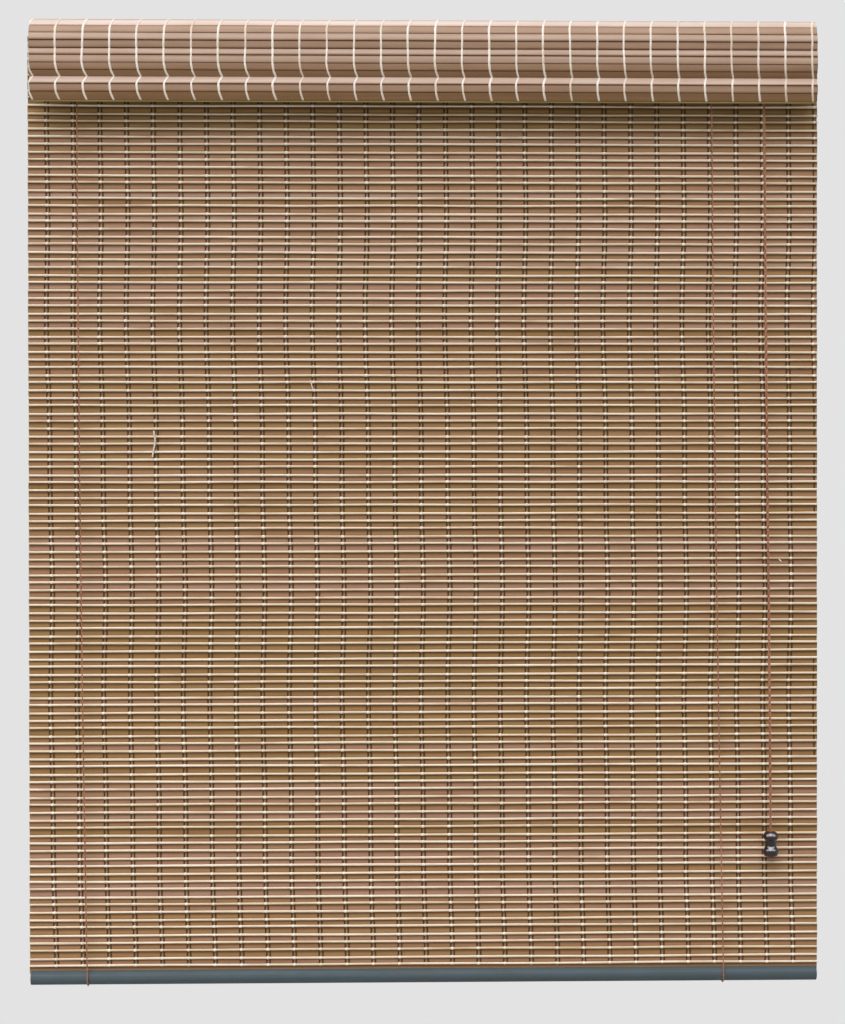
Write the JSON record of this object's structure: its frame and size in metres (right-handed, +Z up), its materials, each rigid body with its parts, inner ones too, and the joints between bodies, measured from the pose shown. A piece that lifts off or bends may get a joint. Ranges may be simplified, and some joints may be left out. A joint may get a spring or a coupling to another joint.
{
  "type": "reed roll up blind",
  "caption": "Roll up window blind: a woven mat of bamboo slats and reeds under a slatted cornice valance, with a grey bottom bar, lift cords, a cord lock and a turned pull.",
  "frame": {"origin": "centre of the four wall screw holes, on the wall plane", "axes": "+X along the blind to its right as seen from the room, +Y into the wall, +Z up"},
  "size_m": [0.9, 0.0797, 1.094],
  "materials": {
    "timber": "planed softwood, unfinished",
    "zinc_steel": "zinc plated",
    "shell": "matt brown sheet",
    "slat": "split bamboo with a satin skin",
    "reed": "peeled reed, satin",
    "string": "soft cotton",
    "bar": "slate grey, satin",
    "cord": "twisted red brown cord",
    "wheel": "white acetal",
    "tassel": "dark lacquer"
  },
  "bodies": {
    "headrail": {"rear_batten": "timber", "front_rail": "timber", "wall_bracket_left": "zinc_steel", "wall_bracket_right": "zinc_steel", "valance_shell": "shell", "valance_slats": "slat", "valance_strings": "string", "valance_edge_reed": "reed", "reed_mat": "slat", "lift_cord_left_front": "cord", "lift_cord_left_back": "cord", "lift_cord_right_front": "cord", "lift_cord_right_back": "cord", "lead_cord_left": "cord", "lead_cord_right": "cord", "cord_tab_left": "zinc_steel", "cord_tab_right": "zinc_steel", "pulley_frame_left": "zinc_steel", "pulley_frame_right": "zinc_steel", "pulley_axle_left": "zinc_steel", "pulley_axle_right": "zinc_steel", "lock_frame": "zinc_steel", "lock_axle": "zinc_steel", "lock_cam_pin": "zinc_steel", "pull_cord": "cord"},
    "bights": {"cord_bights": "cord"},
    "bar": {"bottom_bar": "bar", "bar_end_plugs": "bar"},
    "tassel": {"pull_tassel": "tassel", "tassel_knot": "cord"},
    "left_wheel": {"pulley_wheel_left": "wheel"},
    "right_wheel": {"pulley_wheel_right": "wheel"},
    "exit_wheel": {"lock_wheel": "wheel"},
    "cam": {"lock_cam": "zinc_steel"}
  },
  "joints": [
    {"name": "lift", "type": "slide", "parent": "headrail", "child": "bights", "axis": [0, 0, 1], "range_m": [0, 0.955], "deforming": ["reed_mat", "lift_cord_left_front", "lift_cord_right_front", "lift_cord_left_back", "lift_cord_right_back"]},
    {"name": "bar_roll", "type": "hinge", "parent": "bights", "child": "bar", "pos_m": [0, -0.03895, -1.034], "axis": [-1, 0, 0], "range_deg": [0, 2521]},
    {"name": "pull", "type": "slide", "parent": "headrail", "child": "tassel", "axis": [0, 0, -1], "range_m": [0, 1.83], "deforming": ["pull_cord"]},
    {"name": "left_pulley_spin", "type": "hinge", "parent": "headrail", "child": "left_wheel", "pos_m": [-0.3867, -0.058, 0.0142], "axis": [0, 1, 0], "range_deg": [0, 20960]},
    {"name": "right_pulley_spin", "type": "hinge", "parent": "headrail", "child": "right_wheel", "pos_m": [0.3304, -0.058, 0.0123], "axis": [0, 1, 0], "range_deg": [0, 20960]},
    {"name": "lock_wheel_spin", "type": "hinge", "parent": "headrail", "child": "exit_wheel", "pos_m": [0.37895, -0.058, 0.0123], "axis": [0, 1, 0], "range_deg": [0, 20960]},
    {"name": "lock_cam_swing", "type": "hinge", "parent": "headrail", "child": "cam", "pos_m": [0.3929, -0.058, 0.0093], "axis": [0, 1, 0], "range_deg": [0, 40]}
  ],
  "couplings": [
    {"joint": "bar_roll", "follows": "lift", "rad_per_m": 46.055},
    {"joint": "pull", "follows": "lift", "ratio": 1.9152},
    {"joint": "left_pulley_spin", "follows": "lift", "rad_per_m": 383.04},
    {"joint": "right_pulley_spin", "follows": "lift", "rad_per_m": 383.04},
    {"joint": "lock_wheel_spin", "follows": "lift", "rad_per_m": 383.04}
  ]
}
